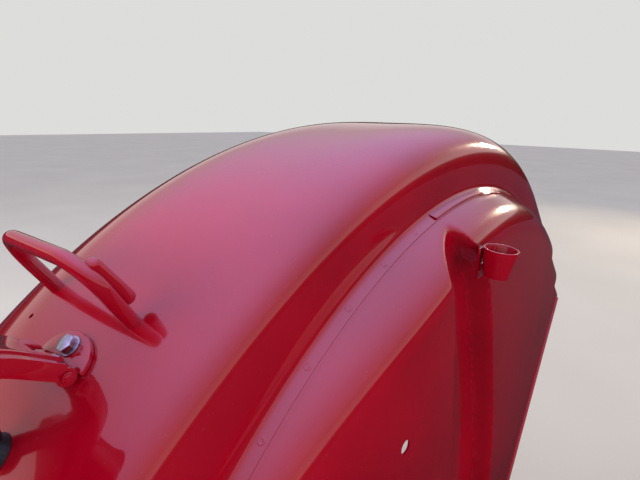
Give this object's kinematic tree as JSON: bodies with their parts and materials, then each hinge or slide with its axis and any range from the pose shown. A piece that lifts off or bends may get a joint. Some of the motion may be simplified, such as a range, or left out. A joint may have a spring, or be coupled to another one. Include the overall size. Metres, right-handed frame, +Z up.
{
  "type": "vintage tractor rear mudguard",
  "caption": "Left rear mudguard of a vintage tractor: deep pressed crown over a bulged inner panel, with a grab rail, a socket and a folding passenger seat.",
  "frame": {"origin": "centre of the four holes in the axle bracket's foot, on the foot's lower face, where it lies on the rear axle housing", "axes": "+X inboard towards the tractor's centre line, +Y forward, +Z up"},
  "size_m": [0.47, 1.5581, 0.9327],
  "materials": {
    "red_enamel": "deep gloss red enamel over pressed sheet steel",
    "zinc_steel": "bright zinc-plated fasteners",
    "black_rubber": "smooth black rubber",
    "black_vinyl": "black leathercloth, stitched, soft sheen",
    "plywood": "raw plywood board under the cushion"
  },
  "bodies": {
    "mudguard": {"crown": "red_enamel", "outer_wire": "red_enamel", "inner_panel": "red_enamel", "front_wire": "red_enamel", "ledge_strap": "red_enamel", "socket": "red_enamel", "socket_strip": "red_enamel", "grab_rail": "red_enamel", "rail_cleat": "red_enamel", "rail_nuts": "zinc_steel", "crown_rib_rear": "red_enamel", "crown_rib_front": "red_enamel", "seat_lug": "red_enamel", "lug_washer": "zinc_steel", "lug_bolt": "zinc_steel", "lug_nut": "zinc_steel", "hinge_pin": "red_enamel", "axle_bracket": "red_enamel", "axle_bolts": "zinc_steel", "axle_nuts": "zinc_steel", "step_bracket": "red_enamel", "step_bolts": "zinc_steel", "step_nuts": "zinc_steel"},
    "seat": {"seat_arm": "red_enamel", "front_buffer": "black_rubber", "buffer_bolt": "zinc_steel", "seat_pan": "red_enamel", "pan_bolts": "zinc_steel", "pan_nuts": "zinc_steel", "seat_board": "plywood", "seat_cushion": "black_vinyl", "rear_legs": "red_enamel", "rear_feet": "black_rubber"}
  },
  "joints": [
    {"name": "seat_fold", "type": "hinge", "parent": "mudguard", "child": "seat", "pos_m": [-0.178, -0.48229, 0.64755], "axis": [-1, 0, 0], "range_deg": [0, 55]}
  ]
}
